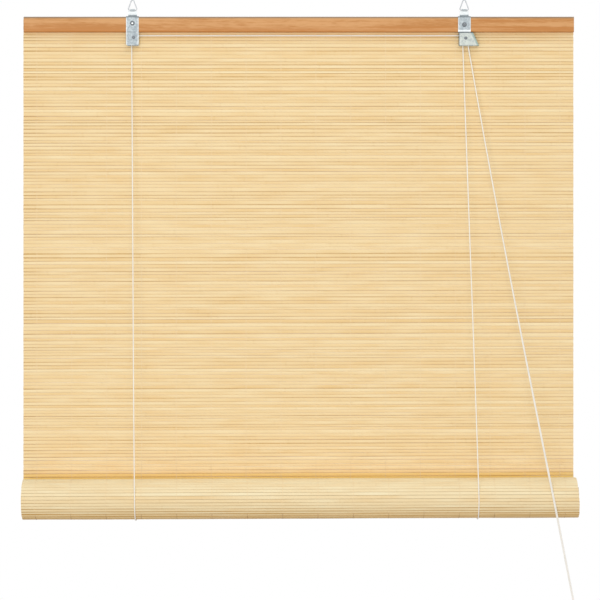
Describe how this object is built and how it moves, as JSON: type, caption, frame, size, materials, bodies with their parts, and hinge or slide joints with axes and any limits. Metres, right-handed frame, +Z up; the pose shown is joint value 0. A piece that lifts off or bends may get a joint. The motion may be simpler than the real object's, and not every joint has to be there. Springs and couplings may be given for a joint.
{
  "type": "roll up blind",
  "caption": "Roll up blind: bamboo slat mat on a wooden head rail, wound from below in cord slings, with ring hangers, pulleys, a cord lock and a taut pull cord.",
  "frame": {"origin": "midway between the two hanging rings, at the height where their hooks bear inside the tops", "axes": "+X to the viewer's right along the rail, +Y to the back (the window), +Z up"},
  "size_m": [1.0035, 0.0852, 1.121],
  "materials": {
    "rail": "satin",
    "mat": "satin",
    "roll": "matte",
    "batten": "matte",
    "zinc": "satin",
    "wire": "bright",
    "cord": "matte",
    "thread": "matte"
  },
  "bodies": {
    "head": {"head_rail": "rail", "mat_panel": "mat", "warp_threads": "thread", "mat_staples": "zinc", "left_hanger": "zinc", "right_hanger": "zinc", "left_hanger_screw": "zinc", "right_hanger_screw": "zinc", "left_pulley_box": "zinc", "lock_housing": "zinc", "left_axle": "zinc", "right_axle": "zinc", "transfer_cord": "cord", "right_lift_wrap": "cord", "left_front_strand": "cord", "right_front_strand": "cord", "left_rear_strand": "cord", "right_rear_strand": "cord", "left_rear_knot": "cord", "right_rear_knot": "cord", "cord_staples": "zinc", "pull_left_upper": "cord", "pull_right_upper": "cord", "pull_left_lower": "cord", "pull_right_lower": "cord", "pull_knot": "cord"},
    "slings": {"left_bight": "cord", "right_bight": "cord"},
    "roll": {"mat_roll": "roll", "bottom_batten": "batten"},
    "left_pulley": {"left_pulley": "zinc"},
    "right_pulley": {"right_pulley": "zinc"},
    "lock_roller": {"lock_roller": "zinc"},
    "left_ring": {"left_ring": "wire"},
    "right_ring": {"right_ring": "wire"}
  },
  "joints": [
    {"name": "roll_lift", "type": "slide", "parent": "head", "child": "slings", "axis": [0, 0, 1], "range_m": [0, 0.7], "deforming": ["mat_panel", "warp_threads", "left_front_strand", "right_front_strand", "left_rear_strand", "right_rear_strand", "pull_left_upper", "pull_right_upper"]},
    {"name": "roll_spin", "type": "hinge", "parent": "slings", "child": "roll", "pos_m": [0.0035, -0.029, -0.9008], "axis": [1, 0, 0], "range_deg": [-1080, 0]},
    {"name": "left_pulley_spin", "type": "hinge", "parent": "head", "child": "left_pulley", "pos_m": [-0.2988, -0.0002, -0.0675], "axis": [0, 1, 0], "continuous": true},
    {"name": "right_pulley_spin", "type": "hinge", "parent": "head", "child": "right_pulley", "pos_m": [0.3034, -0.0015, -0.0686], "axis": [0, 1, 0], "continuous": true},
    {"name": "lock_roller_slide", "type": "slide", "parent": "head", "child": "lock_roller", "axis": [-0.4167, 0, 0.9091], "range_m": [0, 0.0125]},
    {"name": "left_ring_swing", "type": "hinge", "parent": "head", "child": "left_ring", "pos_m": [-0.301, 0, -0.0173], "axis": [1, 0, 0], "range_deg": [-90, 90]},
    {"name": "right_ring_swing", "type": "hinge", "parent": "head", "child": "right_ring", "pos_m": [0.301, 0, -0.0173], "axis": [1, 0, 0], "range_deg": [-90, 90]}
  ],
  "couplings": [
    {"joint": "roll_spin", "follows": "roll_lift", "rad_per_m": -26.928}
  ]
}
